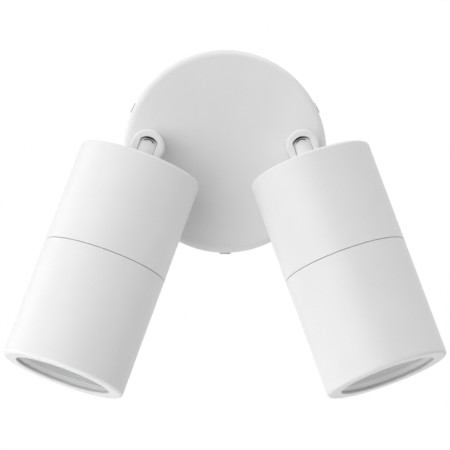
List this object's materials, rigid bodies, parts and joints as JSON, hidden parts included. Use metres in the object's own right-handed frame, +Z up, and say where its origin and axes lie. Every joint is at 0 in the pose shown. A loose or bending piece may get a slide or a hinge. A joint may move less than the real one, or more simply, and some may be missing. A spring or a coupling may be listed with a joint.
{
  "type": "pivoting spotlight wall light",
  "caption": "Pivoting wall spotlight: a round backplate with posts whose slotted knuckles carry cylindrical heads that swivel and tilt, each with a glass front.",
  "frame": {"origin": "centre of the cable entry in the wall bracket, in the plane of the wall", "axes": "+Y into the wall, -Y out of it towards the room, +Z up, +X to the right seen from the room"},
  "size_m": [0.2112, 0.1061, 0.1696],
  "materials": {
    "white_paint": "satin",
    "zinc_screw": "satin",
    "zinc_sheet": "satin",
    "spring_steel": "polished",
    "brass": "satin",
    "white_nylon": "matte",
    "block_plastic": "matte",
    "lead_sleeve": "matte",
    "black_rubber": "matte",
    "black_acetal": "matte",
    "pale_silicone": "matte",
    "white_foam": "matte",
    "ceramic": "matte",
    "lamp_plastic": "satin",
    "lamp_lens": "satin",
    "front_glass": "gloss"
  },
  "bodies": {
    "base": {"backplate": "white_paint", "wall_gasket": "white_foam", "side_screws": "zinc_screw", "wall_bracket": "zinc_sheet", "cable_grommet": "black_rubber", "terminal_block": "block_plastic", "clamp_screws": "brass", "block_screws": "zinc_screw", "earth_screw": "brass", "swivel_bushes": "white_nylon", "canopy_leads": "lead_sleeve"},
    "left_arm": {"left_post": "white_paint", "left_neck_ring": "black_rubber", "left_stop_washer": "zinc_sheet", "left_swivel_spring": "spring_steel", "left_neck_nut": "zinc_screw", "left_ball_cup": "black_acetal", "left_cup_spring": "spring_steel", "left_pivot_screws": "zinc_screw"},
    "left_head": {"left_stem": "white_paint", "left_stem_washer": "zinc_sheet", "left_stem_nut": "zinc_screw", "left_rear_shell": "white_paint", "left_seam_ring": "black_rubber", "left_holder_bracket": "zinc_sheet", "left_bracket_screws": "zinc_screw", "left_lampholder": "ceramic", "left_holder_screws": "zinc_screw", "left_lamp_body": "lamp_plastic", "left_lamp_lens": "lamp_lens", "left_head_lead": "lead_sleeve"},
    "left_front": {"left_front_shell": "white_paint", "left_front_glass": "front_glass", "left_glass_gasket": "pale_silicone", "left_glass_clip": "spring_steel"},
    "right_arm": {"right_post": "white_paint", "right_neck_ring": "black_rubber", "right_stop_washer": "zinc_sheet", "right_swivel_spring": "spring_steel", "right_neck_nut": "zinc_screw", "right_ball_cup": "black_acetal", "right_cup_spring": "spring_steel", "right_pivot_screws": "zinc_screw"},
    "right_head": {"right_stem": "white_paint", "right_stem_washer": "zinc_sheet", "right_stem_nut": "zinc_screw", "right_rear_shell": "white_paint", "right_seam_ring": "black_rubber", "right_holder_bracket": "zinc_sheet", "right_bracket_screws": "zinc_screw", "right_lampholder": "ceramic", "right_holder_screws": "zinc_screw", "right_lamp_body": "lamp_plastic", "right_lamp_lens": "lamp_lens", "right_head_lead": "lead_sleeve"},
    "right_front": {"right_front_shell": "white_paint", "right_front_glass": "front_glass", "right_glass_gasket": "pale_silicone", "right_glass_clip": "spring_steel"}
  },
  "joints": [
    {"name": "left_swivel", "type": "hinge", "parent": "base", "child": "left_arm", "pos_m": [-0.0375, -0.0525, 0.0019], "axis": [0, -1, 0], "range_deg": [-180, 40]},
    {"name": "left_tilt", "type": "hinge", "parent": "left_arm", "child": "left_head", "pos_m": [-0.0375, -0.0525, 0.0019], "axis": [-0.9397, 0, 0.342], "range_deg": [-11.7, 78.3]},
    {"name": "left_front_off", "type": "slide", "parent": "left_head", "child": "left_front", "axis": [-0.3349, -0.2028, -0.9202], "range_m": [0, 0.056]},
    {"name": "right_swivel", "type": "hinge", "parent": "base", "child": "right_arm", "pos_m": [0.0375, -0.0525, 0.0019], "axis": [0, -1, 0], "range_deg": [-40, 180]},
    {"name": "right_tilt", "type": "hinge", "parent": "right_arm", "child": "right_head", "pos_m": [0.0375, -0.0525, 0.0019], "axis": [-0.9397, 0, -0.342], "range_deg": [-11.7, 78.3]},
    {"name": "right_front_off", "type": "slide", "parent": "right_head", "child": "right_front", "axis": [0.3349, -0.2028, -0.9202], "range_m": [0, 0.056]}
  ]
}
